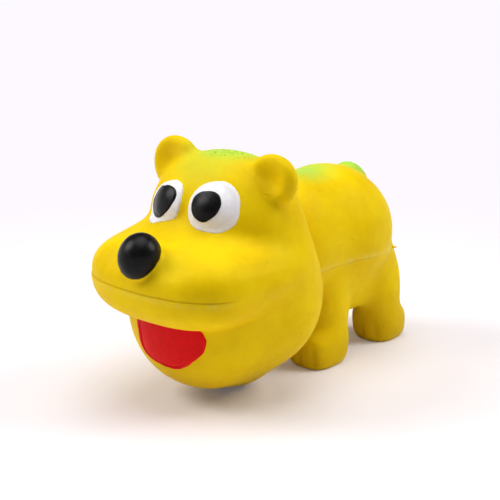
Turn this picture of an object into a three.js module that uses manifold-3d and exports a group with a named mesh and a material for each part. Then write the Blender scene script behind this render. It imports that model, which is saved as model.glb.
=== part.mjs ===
// A squeaky dog toy: a hollow latex dog with painted features, a soft filling and a squeaker.
// Millimetres, +Z up. The toy faces -Y and stands with its soles and chin on z = 0.
import * as THREE from 'three';
import { mergeVertices } from 'three/addons/utils/BufferGeometryUtils.js';
import Module from 'manifold-3d';

const wasm = await Module();
wasm.setup();

// Driving dimensions: shared by the whole toy
const gap = 0.3;
const skinWall = 2.2;
const flatDepth = 0.5;
const headPlace = -17;

// Head: brow, cheeks, chin and mouth swellings, placed from the head's middle
const browWidth = 51.4;
const browLength = 37.6;
const browHeight = 49.2;
const browLevel = 50;
const browSquareness = 2.25;
const cheekWidth = 32.6;
const cheekLength = 34.1;
const cheekHeight = 44;
const cheekSpacing = 29;
const cheekLevel = 32.9;
const cheekBehind = 2.3;
const chinWidth = 40;
const chinLength = 36;
const chinHeight = 53.4;
const chinBehind = 6.8;
const mouthWidth = 49.2;
const mouthLength = 37.4;
const mouthHeight = 51;
const mouthLevel = 29.6;
const mouthAhead = 11.3;
const mouthSquareness = 2.15;
const headBlend = 7;

// Muzzle
const muzzleWidth = 57.6;
const muzzleLength = 44.4;
const muzzleHeight = 25.8;
const muzzleLevel = 40.6;
const muzzleAhead = 18.2;
const muzzleDroop = 1.2;
const muzzleSquareness = 2.7;

// Torso: barrel and shoulders
const barrelWidth = 43.6;
const barrelLength = 49;
const barrelHeight = 43.6;
const barrelLevel = 41;
const barrelBehind = 49.3;
const barrelDroop = 7.5;
const shoulderWidth = 38;
const shoulderLength = 40;
const shoulderHeight = 40.6;
const shoulderLevel = 42.4;
const shoulderBehind = 27.8;
const torsoBlend = 6;
const seamLevel = 34.5;

// Legs and paws
const legWidth = 15;
const legLength = 16;
const legSink = 10;
const pawWidth = 16;
const pawLength = 18;
const pawHeight = 12.8;
const pawSpacing = 3.4;
const legSplay = 0.4;
const frontLegAhead = 12.4;
const rearLegBehind = 16.2;
const frontPawStep = 2;
const rearPawStep = 3.4;
const legBlend = 4;
const thighWidth = 12;
const thighLength = 22;
const thighHeight = 26;
const thighSpacing = 25;
const thighAhead = 7;
const thighLevel = 22;

// Ears
const earWidth = 14.4;
const earHeight = 10;
const earThickness = 5.6;
const earCorner = 4;
const earSpread = 47;
const earBack = -0.7;
const earCupDepth = 1.6;
const earCupMargin = 2.4;

// Tail
const tailWidth = 8.8;
const tailHeight = 2.4;
const tailBehind = 15.2;

// Painted, slightly raised features
const eyeWidth = 17.6;
const eyeHeight = 17;
const eyeSpacing = 19.4;
const eyeRise = 13.2;
const eyeBulge = 1.5;
const pupilWidth = 10;
const pupilHeight = 11;
const pupilBulge = 0.8;
const pupilInset = 1.2;
const pupilRise = -0.6;
const noseWidth = 12.7;
const noseHeight = 14.1;
const noseDepth = 12.4;
const noseAngle = 27;
const noseBulge = 7.7;
const tongueWidth = 27;
const tongueLength = 21;
const tongueBulge = 1.1;
const tongueLevel = 21.5;

// Squeaker, seated in a round hole in the belly
const padMargin = 2;
const neckRadius = 4.6;
const neckBore = 3.2;
const flangeRadius = 7.2;
const flangeThickness = 1;
const dishRadius = 8.4;
const dishDepth = 4;
const dishWall = 1.2;
const rimWidth = 1.5;
const rimThickness = 1;
const domeHeight = 7;
const domeWall = 0.9;
const tubeLength = 9;
const tubeBore = 1.5;
const reedWidth = 3.4;
const reedThickness = 0.25;
const reedLength = 4.8;
const reedClamp = 1.2;

// Search for a form's surface, and welding of doubled corners
const searchReach = 200;
const searchHalvings = 44;
const slopeStep = 0.05;
const weldReach = 1e-4;

// Facet counts of the drawn forms
const headDetail = 7;
const muzzleDetail = 5;
const torsoDetail = 5;
const limbDetail = 3;
const wallDetail = 3;
const trimDetail = 3;
const roundSegments = 20;

// An ellipsoid, squarer when its power is over 2, tilted about X by degrees
function lobe(centre, width, length, height, droop = 0, power = 2) {
  const angle = THREE.MathUtils.degToRad(droop);
  return {
    centre,
    half: [width / 2, length / 2, height / 2],
    turn: [Math.cos(angle), Math.sin(angle)],
    power,
  };
}

function lobeDistance(shape, point) {
  const { centre, half, turn, power } = shape;
  const dy = point.y - centre.y;
  const dz = point.z - centre.z;
  const local = [point.x - centre.x, turn[0] * dy + turn[1] * dz, turn[0] * dz - turn[1] * dy];
  const ratio = local.map((value, i) => Math.abs(value) / half[i] + 1e-9);
  const reach = Math.pow(ratio.reduce((sum, r) => sum + Math.pow(r, power), 0), 1 / power);
  const slope = Math.hypot(...ratio.map((r, i) => Math.pow(r / reach, power - 1) / half[i]));
  return (reach - 1) / slope;
}

function softMin(a, b, blend) {
  const near = Math.max(blend - Math.abs(a - b), 0);
  return Math.min(a, b) - (near * near) / (4 * blend);
}

// A form is a soft union of lobes seen from one middle point
function form(middle, blend, ...lobes) {
  const distance = (point) => lobes
    .map((shape) => lobeDistance(shape, point))
    .reduce((a, b) => softMin(a, b, blend));
  return { middle, distance };
}

// Distance from a start point along a direction to the form's surface moved out by grow
function surfaceReach(shape, start, direction, grow = 0) {
  const point = new THREE.Vector3();
  let inside = 0;
  let outside = searchReach;
  for (let halving = 0; halving < searchHalvings; halving += 1) {
    const reach = (inside + outside) / 2;
    point.copy(start).addScaledVector(direction, reach);
    if (shape.distance(point) < grow) inside = reach;
    else outside = reach;
  }
  return inside;
}

function surfacePoint(shape, start, direction) {
  const reach = surfaceReach(shape, start, direction);
  return start.clone().addScaledVector(direction, reach);
}

function surfaceNormal(shape, point) {
  const step = slopeStep;
  const along = (x, y, z) => {
    const a = shape.distance(point.clone().add(new THREE.Vector3(x, y, z)));
    const b = shape.distance(point.clone().sub(new THREE.Vector3(x, y, z)));
    return a - b;
  };
  return new THREE.Vector3(along(step, 0, 0), along(0, step, 0), along(0, 0, step)).normalize();
}

// Closed solid from any closed geometry, with welded vertices and outward faces
function solidFrom(geometry) {
  const bare = new THREE.BufferGeometry();
  bare.setAttribute('position', geometry.getAttribute('position').clone());
  bare.setIndex(geometry.getIndex());
  const welded = mergeVertices(bare, weldReach);
  const place = welded.getAttribute('position').array;
  const order = welded.getIndex().array;
  const faces = [];
  let volume = 0;
  const corner = [new THREE.Vector3(), new THREE.Vector3(), new THREE.Vector3()];
  for (let i = 0; i < order.length; i += 3) {
    const [a, b, c] = [order[i], order[i + 1], order[i + 2]];
    if (a === b || b === c || c === a) continue;
    faces.push(a, b, c);
    [a, b, c].forEach((v, n) => corner[n].fromArray(place, v * 3));
    volume += corner[0].dot(corner[1].clone().cross(corner[2]));
  }
  if (volume < 0) faces.reverse();
  return new wasm.Manifold(new wasm.Mesh({
    numProp: 3,
    vertProperties: Float32Array.from(place),
    triVerts: Uint32Array.from(faces),
  }));
}

function geometryFrom(solid) {
  const mesh = solid.getMesh();
  const count = mesh.vertProperties.length / mesh.numProp;
  const place = new Float32Array(count * 3);
  for (let i = 0; i < count; i += 1) {
    for (let axis = 0; axis < 3; axis += 1) {
      place[i * 3 + axis] = mesh.vertProperties[i * mesh.numProp + axis];
    }
  }
  const geometry = new THREE.BufferGeometry();
  geometry.setAttribute('position', new THREE.BufferAttribute(place, 3));
  geometry.setIndex(new THREE.BufferAttribute(Uint32Array.from(mesh.triVerts), 1));
  geometry.computeVertexNormals();
  return geometry;
}

// The faceted ball drawn in along its rays onto a form's surface
function drawn(shape, detail, grow = 0) {
  const geometry = new THREE.IcosahedronGeometry(1, detail);
  const place = geometry.getAttribute('position');
  const direction = new THREE.Vector3();
  for (let i = 0; i < place.count; i += 1) {
    direction.fromBufferAttribute(place, i).normalize();
    const reach = surfaceReach(shape, shape.middle, direction, grow);
    direction.multiplyScalar(reach).add(shape.middle);
    place.setXYZ(i, direction.x, direction.y, direction.z);
  }
  return solidFrom(geometry);
}

// A ball with three half sizes, turned so that its z axis follows a direction
function ball(centre, half, facing = new THREE.Vector3(0, 0, 1), detail = trimDetail) {
  const geometry = new THREE.IcosahedronGeometry(1, detail);
  geometry.scale(half[0], half[1], half[2]);
  geometry.applyQuaternion(uprightTurn(facing));
  geometry.translate(centre.x, centre.y, centre.z);
  return solidFrom(geometry);
}

// Turn whose z axis follows the facing direction and whose x axis stays level
function uprightTurn(facing) {
  const axisZ = facing.clone().normalize();
  const level = new THREE.Vector3(-axisZ.y, axisZ.x, 0);
  const axisX = level.lengthSq() > 1e-6 ? level.normalize() : new THREE.Vector3(1, 0, 0);
  const axisY = axisZ.clone().cross(axisX);
  return new THREE.Quaternion().setFromRotationMatrix(
    new THREE.Matrix4().makeBasis(axisX, axisY, axisZ),
  );
}

function box(width, length, height, x, y, z) {
  return solidFrom(new THREE.BoxGeometry(width, length, height).translate(x, y, z));
}

// Solid of revolution about Z from radius and height pairs that close on themselves
function turned(profile, closed = true) {
  const points = profile.map(([radius, height]) => new THREE.Vector2(radius, height));
  if (closed) points.push(points[0].clone());
  return solidFrom(new THREE.LatheGeometry(points, roundSegments).rotateX(Math.PI / 2));
}

function subpart(name, geometry, color, roughness, metalness = 0) {
  const material = new THREE.MeshStandardMaterial({ color, roughness, metalness });
  const mesh = new THREE.Mesh(geometry, material);
  mesh.name = name;
  return mesh;
}

const latexYellow = 0xe6c318;
const latexGreen = 0xbfe058;
const paintWhite = 0xeceaec;
const paintBlack = 0x14130f;
const paintRed = 0xc8151a;
const fibreWhite = 0xf1f0ea;
const plasticWhite = 0xe9e9e4;
const latexRough = 0.55;

// Head and muzzle forms
const headMiddle = new THREE.Vector3(0, headPlace, (browLevel + mouthLevel) / 2);
const headForm = form(
  headMiddle,
  headBlend,
  lobe(
    new THREE.Vector3(0, headPlace, browLevel),
    browWidth, browLength, browHeight, 0, browSquareness,
  ),
  ...[1, -1].map((side) => lobe(
    new THREE.Vector3(side * cheekSpacing / 2, headPlace + cheekBehind, cheekLevel),
    cheekWidth, cheekLength, cheekHeight,
  )),
  lobe(
    new THREE.Vector3(0, headPlace + chinBehind, chinHeight / 2 - flatDepth),
    chinWidth, chinLength, chinHeight,
  ),
  lobe(
    new THREE.Vector3(0, headPlace - mouthAhead, mouthLevel),
    mouthWidth, mouthLength, mouthHeight, 0, mouthSquareness,
  ),
);
const muzzleMiddle = new THREE.Vector3(0, headPlace - muzzleAhead, muzzleLevel);
const muzzleForm = form(
  muzzleMiddle,
  headBlend,
  lobe(muzzleMiddle, muzzleWidth, muzzleLength, muzzleHeight, muzzleDroop, muzzleSquareness),
);

// Torso form
const torsoMiddle = new THREE.Vector3(0, headPlace + (barrelBehind + shoulderBehind) / 2, barrelLevel);
const barrelMiddle = new THREE.Vector3(0, headPlace + barrelBehind, barrelLevel);
const torsoForm = form(
  torsoMiddle,
  torsoBlend,
  lobe(barrelMiddle, barrelWidth, barrelLength, barrelHeight, -barrelDroop),
  lobe(
    new THREE.Vector3(0, headPlace + shoulderBehind, shoulderLevel),
    shoulderWidth,
    shoulderLength,
    shoulderHeight,
  ),
);

// Floor plane: everything below it is taken off
const toyReach = 400;
const belowFloor = box(toyReach, toyReach, toyReach, 0, 0, -toyReach / 2);

const headSolid = drawn(headForm, headDetail).subtract(belowFloor);
const headClear = drawn(headForm, headDetail, gap);
const headHollow = drawn(headForm, wallDetail, -skinWall);
const headStuffing = drawn(headForm, wallDetail, -skinWall - gap);
const muzzleSolid = drawn(muzzleForm, muzzleDetail);
const muzzleClear = drawn(muzzleForm, muzzleDetail, gap);
const muzzleHollow = drawn(muzzleForm, wallDetail, -skinWall);
const muzzleStuffing = drawn(muzzleForm, wallDetail, -skinWall - gap);
const torsoSolid = drawn(torsoForm, torsoDetail);
const torsoClear = drawn(torsoForm, torsoDetail, gap);
const torsoHollow = drawn(torsoForm, wallDetail, -skinWall);
const torsoStuffing = drawn(torsoForm, wallDetail, -skinWall - gap);

// Legs stand between the torso's underside and the floor, left and right alike
const frontLegY = barrelMiddle.y - frontLegAhead;
const rearLegY = barrelMiddle.y + rearLegBehind;
const pawX = (pawWidth + pawSpacing) / 2;
const down = new THREE.Vector3(0, 0, -1);
const up = new THREE.Vector3(0, 0, 1);

function leg(side, legY, pawStep, ...thigh) {
  const legX = side * (pawX + legSplay);
  const under = surfacePoint(torsoForm, new THREE.Vector3(legX, legY, barrelLevel), down);
  const height = under.z + legSink + flatDepth;
  const shank = new THREE.Vector3(legX, legY, height / 2 - flatDepth);
  const paw = new THREE.Vector3(side * pawX, legY + pawStep, pawHeight / 2 - flatDepth);
  const middle = new THREE.Vector3(side * pawX, legY + pawStep / 2, pawHeight);
  const legForm = form(
    middle,
    legBlend,
    lobe(shank, legWidth, legLength, height),
    lobe(paw, pawWidth, pawLength, pawHeight),
    ...thigh,
  );
  return drawn(legForm, limbDetail).subtract(belowFloor).subtract(torsoClear).subtract(headClear);
}

// Belly pad: a flat round seat under the barrel, midway between the legs
const squeakerY = (frontLegY + rearLegY) / 2;
const padRadius = dishRadius + padMargin;
const padLevels = [[padRadius, 0], [0, padRadius], [0, -padRadius]].map(([x, y]) => {
  const edge = new THREE.Vector3(x, squeakerY + y, barrelLevel);
  return surfacePoint(torsoForm, edge, down).z;
});
const padLevel = Math.max(...padLevels);
const padInside = padLevel + skinWall;
const belowPad = box(toyReach, toyReach, toyReach, 0, 0, padLevel - toyReach / 2);
const belowPadInside = box(toyReach, toyReach, toyReach, 0, 0, padInside - toyReach / 2);
const belowPadStuffing = box(toyReach, toyReach, toyReach, 0, 0, padInside + gap - toyReach / 2);
const aboveSeam = box(toyReach, toyReach, toyReach, 0, 0, seamLevel + gap / 2 + toyReach / 2);
const belowSeam = box(toyReach, toyReach, toyReach, 0, 0, seamLevel - gap / 2 - toyReach / 2);
const bellyHole = turned([
  [0, padLevel - skinWall], [neckRadius + gap, padLevel - skinWall],
  [neckRadius + gap, padInside + skinWall], [0, padInside + skinWall],
], false).translate([0, squeakerY, 0]);

const torsoShell = torsoSolid
  .subtract(belowPad)
  .subtract(torsoHollow.subtract(belowPadInside))
  .subtract(headClear)
  .subtract(muzzleClear)
  .subtract(bellyHole);

const toy = new THREE.Group();
toy.name = 'squeaky_dog_toy';

// Head group
const head = new THREE.Group();
const headSkin = headSolid.subtract(headHollow).subtract(muzzleHollow).subtract(torsoHollow);
const muzzleSkin = muzzleSolid.subtract(muzzleHollow).subtract(headClear);
const headFilling = headStuffing.add(muzzleStuffing);
head.add(
  subpart('head_skin', geometryFrom(headSkin), latexYellow, latexRough),
  subpart('muzzle_skin', geometryFrom(muzzleSkin), latexYellow, latexRough),
  subpart('head_filling', geometryFrom(headFilling), fibreWhite, 0.95),
);

// Eyes: low domes on the brow, each with a pupil looking ahead
const forward = new THREE.Vector3(0, -1, 0);
for (const [side, word] of [[1, 'left'], [-1, 'right']]) {
  const start = new THREE.Vector3(side * eyeSpacing / 2, headPlace, browLevel + eyeRise);
  const seat = surfacePoint(headForm, start, forward);
  const facing = surfaceNormal(headForm, seat);
  const sag = (eyeWidth * eyeWidth) / 4 / browWidth;
  const middle = seat.clone().addScaledVector(facing, -sag);
  const half = [eyeWidth / 2, eyeHeight / 2, sag + eyeBulge];
  const white = ball(middle, half, facing).subtract(headClear).subtract(muzzleClear);
  const gaze = uprightTurn(facing);
  const inward = new THREE.Vector3(-side * pupilInset, pupilRise, 0).applyQuaternion(gaze);
  const pupilSeat = seat.clone().add(inward);
  const pupilHalf = [pupilWidth / 2, pupilHeight / 2, eyeBulge + pupilBulge + gap];
  const grown = half.map((value) => value + gap);
  const pupil = ball(pupilSeat, pupilHalf, facing)
    .subtract(ball(middle, grown, facing))
    .subtract(headClear)
    .subtract(muzzleClear);
  head.add(
    subpart(`eye_white_${word}`, geometryFrom(white), paintWhite, 0.4),
    subpart(`pupil_${word}`, geometryFrom(pupil), paintBlack, 0.2),
  );
}

// Nose: a ball on the upper front of the muzzle
const noseTurn = THREE.MathUtils.degToRad(noseAngle);
const noseFacing = new THREE.Vector3(0, -Math.cos(noseTurn), Math.sin(noseTurn));
const noseSeat = surfacePoint(muzzleForm, muzzleMiddle, noseFacing);
const noseMiddle = noseSeat.clone().addScaledVector(noseFacing, noseBulge - noseDepth / 2);
const nose = ball(noseMiddle, [noseWidth / 2, noseHeight / 2, noseDepth / 2], noseFacing)
  .subtract(muzzleClear);
head.add(subpart('nose', geometryFrom(nose), paintBlack, 0.3));

// Tongue: a low oval on the front of the mouth, under the lip
const tongueSeat = surfacePoint(headForm, new THREE.Vector3(0, headPlace, tongueLevel), forward);
const tongueFacing = surfaceNormal(headForm, tongueSeat);
const tongueSag = (tongueWidth * tongueWidth) / 4 / mouthWidth;
const tongueMiddle = tongueSeat.clone().addScaledVector(tongueFacing, -tongueSag);
const tongue = ball(
  tongueMiddle,
  [tongueWidth / 2, tongueLength / 2, tongueSag + tongueBulge],
  tongueFacing,
).subtract(headClear).subtract(muzzleClear);
head.add(subpart('tongue', geometryFrom(tongue), paintRed, 0.4));

// Ears: rounded plates with a cupped front, each rooted on a round edge along its fold line
const earRoot = earThickness / 2;
const earOutline = new THREE.Shape();
const earFoot = earWidth / 2 - earCorner;
const earMid = earCorner - earRoot;
earOutline.moveTo(-earFoot, -earRoot);
earOutline.lineTo(earFoot, -earRoot);
earOutline.absarc(earFoot, earMid, earCorner, -Math.PI / 2, 0);
earOutline.absellipse(0, earMid, earWidth / 2, earHeight - earCorner, 0, Math.PI);
earOutline.absarc(-earFoot, earMid, earCorner, Math.PI, Math.PI * 1.5);
const earPlate = solidFrom(new THREE.ExtrudeGeometry(earOutline, {
  depth: gap,
  bevelThickness: earRoot - gap / 2,
  bevelSize: earRoot - gap / 2,
  bevelOffset: gap / 2 - earRoot,
  bevelSegments: 2,
  curveSegments: 5,
}).translate(0, 0, -gap / 2));
const earCup = ball(
  new THREE.Vector3(0, (earHeight - earRoot) / 2 - earCupMargin / 2, earRoot),
  [earWidth / 2 - earCupMargin, earHeight / 2 - earCupMargin, earCupDepth],
);
const earGeometry = geometryFrom(earPlate.subtract(earCup));
for (const [side, word] of [[1, 'left'], [-1, 'right']]) {
  const lean = THREE.MathUtils.degToRad(earSpread);
  const outward = new THREE.Vector3(side * Math.sin(lean), 0, Math.cos(lean));
  const start = new THREE.Vector3(0, headPlace + earBack, browLevel);
  const root = surfacePoint(headForm, start, outward);
  const rise = surfaceNormal(headForm, root).setY(0).normalize();
  const ear = subpart(`ear_${word}`, earGeometry.clone(), latexYellow, latexRough);
  const earPivot = new THREE.Group();
  const across = rise.clone().cross(forward);
  earPivot.quaternion.setFromRotationMatrix(new THREE.Matrix4().makeBasis(across, rise, forward));
  earPivot.position.copy(root).addScaledVector(rise, earRoot + gap);
  earPivot.add(ear);
  head.add(earPivot);
}
toy.add(head);

// Body group
const body = new THREE.Group();
const tailSeat = surfacePoint(
  torsoForm,
  new THREE.Vector3(0, barrelMiddle.y + tailBehind, barrelLevel),
  up,
);
const tail = ball(tailSeat, [tailWidth / 2, tailWidth / 2, tailHeight], surfaceNormal(torsoForm, tailSeat))
  .subtract(torsoClear);
body.add(
  subpart('back_skin', geometryFrom(torsoShell.intersect(aboveSeam)), latexYellow, latexRough),
  subpart('belly_skin', geometryFrom(torsoShell.intersect(belowSeam)), latexYellow, latexRough),
  subpart('tail', geometryFrom(tail), latexGreen, latexRough),
);
for (const [side, word] of [[1, 'left'], [-1, 'right']]) {
  const front = leg(side, frontLegY, -frontPawStep);
  const thighMiddle = new THREE.Vector3(side * thighSpacing / 2, rearLegY - thighAhead, thighLevel);
  const thigh = lobe(thighMiddle, thighWidth, thighLength, thighHeight);
  const rear = leg(side, rearLegY, rearPawStep, thigh);
  body.add(
    subpart(`front_${word}_leg`, geometryFrom(front), latexYellow, latexRough),
    subpart(`rear_${word}_leg`, geometryFrom(rear), latexYellow, latexRough),
  );
}

// Squeaker heights, measured up from the underside of the belly pad
const dishFloor = skinWall + gap;
const dishTop = dishFloor + dishDepth;
const rimRadius = dishRadius + rimWidth;
const domeFoot = dishTop + gap;
const baseProfile = [
  [neckBore, -gap - flangeThickness], [flangeRadius, -gap - flangeThickness], [flangeRadius, -gap],
  [neckRadius, -gap], [neckRadius, dishFloor], [dishRadius, dishFloor],
  [dishRadius, dishTop - rimThickness], [rimRadius, dishTop - rimThickness], [rimRadius, dishTop],
  [dishRadius - dishWall, dishTop], [dishRadius - dishWall, dishFloor + dishWall],
  [neckBore, dishFloor + dishWall],
];

// Quarter round of the dome from its foot to its crown, moved out by grow
function domeCurve(grow, steps) {
  const points = [];
  for (let i = 0; i <= steps; i += 1) {
    const angle = (Math.PI / 2) * (i / steps);
    points.push([
      i === steps ? 0 : (dishRadius + grow) * Math.cos(angle),
      domeFoot + rimThickness + (domeHeight + grow) * Math.sin(angle),
    ]);
  }
  return points;
}
const domeProfile = [
  ...domeCurve(-domeWall, 4).reverse(),
  [dishRadius - domeWall, domeFoot],
  [rimRadius, domeFoot],
  [rimRadius, domeFoot + rimThickness],
  ...domeCurve(0, 4),
];
const pocketProfile = [
  [0, -flangeThickness], [rimRadius + gap, -flangeThickness],
  [rimRadius + gap, domeFoot + rimThickness + gap], ...domeCurve(gap, 4).slice(1),
];

// Torso filling keeps clear of the squeaker and stops at the head's hollow
const torsoFilling = torsoStuffing
  .subtract(belowPadStuffing)
  .subtract(headHollow)
  .subtract(turned(pocketProfile, false).translate([0, squeakerY, padLevel]));
body.add(subpart('torso_filling', geometryFrom(torsoFilling), fibreWhite, 0.95));

// Sound maker: a tube with a flat side, a reed over its slot and a wedge on the reed's root
const tubeRadius = neckBore - gap;
const tubeFoot = -gap - flangeThickness;
const tubeTop = tubeFoot + tubeLength;
const flatLength = reedLength + 2 * gap;
const flatFoot = tubeTop - flatLength;
const reedFace = -gap;
const wedgeFace = reedFace - reedThickness - gap;
const tubeRound = turned([
  [0, tubeFoot], [tubeRadius, tubeFoot], [tubeRadius, tubeTop], [0, tubeTop],
], false);
const tubeBoreCut = turned([
  [0, tubeFoot - gap], [tubeBore, tubeFoot - gap], [tubeBore, tubeTop - reedClamp * 2],
  [0, tubeTop - reedClamp * 2],
], false);
const flatCut = box(
  tubeRadius * 3, tubeRadius * 2, flatLength * 2,
  0, -tubeRadius, flatFoot + flatLength,
);
const reedTube = tubeRound.subtract(tubeBoreCut).subtract(flatCut);
const reedTop = tubeTop - gap;
const reedGeometry = new THREE.BoxGeometry(reedWidth, reedThickness, reedLength);
reedGeometry.translate(0, reedFace - reedThickness / 2, reedTop - reedLength / 2);
const wedge = tubeRound.intersect(box(
  tubeRadius * 3, tubeRadius * 2, reedClamp * 2,
  0, wedgeFace - tubeRadius, reedTop - gap,
));

const squeaker = new THREE.Group();
squeaker.position.set(0, squeakerY, padLevel);
squeaker.add(
  subpart('squeaker_base', geometryFrom(turned(baseProfile)), plasticWhite, 0.45),
  subpart('squeaker_dome', geometryFrom(turned(domeProfile, false)), plasticWhite, 0.5),
  subpart('reed_tube', geometryFrom(reedTube), plasticWhite, 0.4),
  subpart('reed', reedGeometry, plasticWhite, 0.3),
  subpart('reed_wedge', geometryFrom(wedge), plasticWhite, 0.4),
);
body.add(squeaker);
toy.add(body);

export default toy;
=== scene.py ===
import math

import bmesh
import bpy
import numpy as np
from mathutils import Matrix, Vector


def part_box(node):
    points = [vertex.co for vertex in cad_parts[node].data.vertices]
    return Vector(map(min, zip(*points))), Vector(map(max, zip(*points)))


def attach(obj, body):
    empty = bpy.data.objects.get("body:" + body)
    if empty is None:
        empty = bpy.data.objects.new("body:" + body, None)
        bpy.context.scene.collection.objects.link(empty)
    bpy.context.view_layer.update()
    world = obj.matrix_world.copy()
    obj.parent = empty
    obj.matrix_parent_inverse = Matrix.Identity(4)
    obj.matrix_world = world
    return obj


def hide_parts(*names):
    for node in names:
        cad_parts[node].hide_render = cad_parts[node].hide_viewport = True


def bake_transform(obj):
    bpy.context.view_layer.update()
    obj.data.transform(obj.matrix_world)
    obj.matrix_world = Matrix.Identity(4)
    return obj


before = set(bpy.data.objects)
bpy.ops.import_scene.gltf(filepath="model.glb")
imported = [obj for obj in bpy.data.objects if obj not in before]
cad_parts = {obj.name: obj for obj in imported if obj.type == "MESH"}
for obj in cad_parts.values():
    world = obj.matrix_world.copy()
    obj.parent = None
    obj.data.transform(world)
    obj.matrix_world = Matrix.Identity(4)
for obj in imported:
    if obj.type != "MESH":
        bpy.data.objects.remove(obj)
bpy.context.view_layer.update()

scene = bpy.context.scene
metre = 0.001  # every shape below is worked in millimetres and scaled at the end
weld = 1e-4  # points that are closer than this become one


# colours are written as sRGB hex and handed to Blender as linear values
def linear(hexColour):
    shares = [int(hexColour[i:i + 2], 16) / 255 for i in (1, 3, 5)]
    return [s / 12.92 if s <= 0.04045 else ((s + 0.055) / 1.055) ** 2.4 for s in shares] + [1]


# adds one node, sets its properties, then fills or links its sockets, by name or in order
def addNode(tree, kind, sockets=(), **settings):
    made = tree.nodes.new("ShaderNode" + kind)
    for name, value in settings.items():
        setattr(made, name, value)
    named = sockets if isinstance(sockets, dict) else dict(enumerate(sockets))
    for socket, value in named.items():
        if isinstance(value, bpy.types.NodeSocket):
            tree.links.new(value, made.inputs[socket])
        else:
            made.inputs[socket].default_value = value
    return made


# a new material with constants on its shader's sockets
def startMaterial(name, **sockets):
    material = bpy.data.materials.new(name)
    material.use_nodes = True
    tree = material.node_tree
    shader = tree.nodes["Principled BSDF"]
    for socket, value in sockets.items():
        shader.inputs[socket.replace("_", " ")].default_value = value
    return material, tree, shader


# Object coordinates in millimetres
def placeInMm(tree):
    place = addNode(tree, "TexCoord").outputs["Object"]
    scaled = addNode(tree, "VectorMath", (place, (1 / metre,) * 3), operation="MULTIPLY")
    return scaled.outputs[0]


# slush-moulded natural rubber latex, sprayed yellow: satin, faintly mottled, with a fine skin
latexLook = {
    "yellow": "#f1cf04", "deep": "#e6c002", "bloom": "#f0d830", "green": "#a6d94e",
    # the pale rubbed colour is partly wear and partly painted highlight; the dark brown one is
    # painted shade
    "olive": "#7f9a1c", "speck": "#8a6c08", "rubbed": "#f2df72", "grime": "#a37d05",
    "ior": 1.52, "shine": 0.055, "rough": (0.46, 0.6),
    # light that seeps into the skin: how much, how far in red green and blue, depth in metres
    "seep": 0.06, "seepReach": (1.0, 0.55, 0.12), "seepDepth": 0.0012,
    # sizes in millimetres
    "mottle": 13.0, "bloomPatch": 30.0, "drift": 3.2, "drop": 1.3, "speckGap": 5.5,
    "dimple": 6.0, "skin": 0.9,
    # between which values each pattern comes in or goes out, and its greatest strength
    "mottleSpan": (0.36, 0.64), "driftSpan": (0.38, 0.62), "roughSpan": (0.3, 0.7),
    "bloomSpan": (0.54, 0.78), "bloomMost": 0.3,
    "dropSpan": (0.22, 0.38), "dropMost": 0.75,
    "speckSpan": (0.03, 0.055), "speckMost": 0.55,
    # airbrushed green: centre, reach along x y z, strength
    "spray": [((-1, -12.5, 76.5), (15, 17.5, 9.3), 0.8),
              ((-2, -20, 73), (15, 17, 11), 0.3),
              ((-5, 19, 64.5), (18, 21, 9.5), 0.8),
              ((0, 47, 60), (9, 8, 6.5), 0.95)],
    "spraySpan": (0.55, 1.25), "ragged": 0.3,
    # where the spray gun spat droplets: centre, reach
    "spat": ((0.5, -17.5, 74.4), (9, 5, 4)), "spatSpan": (0.7, 1.1),
    # bump: strength, height in metres
    "dimpleRelief": (0.3, 0.0006), "pitRelief": (0.5, 0.0003), "skinRelief": (0.2, 0.0001),
}


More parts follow.
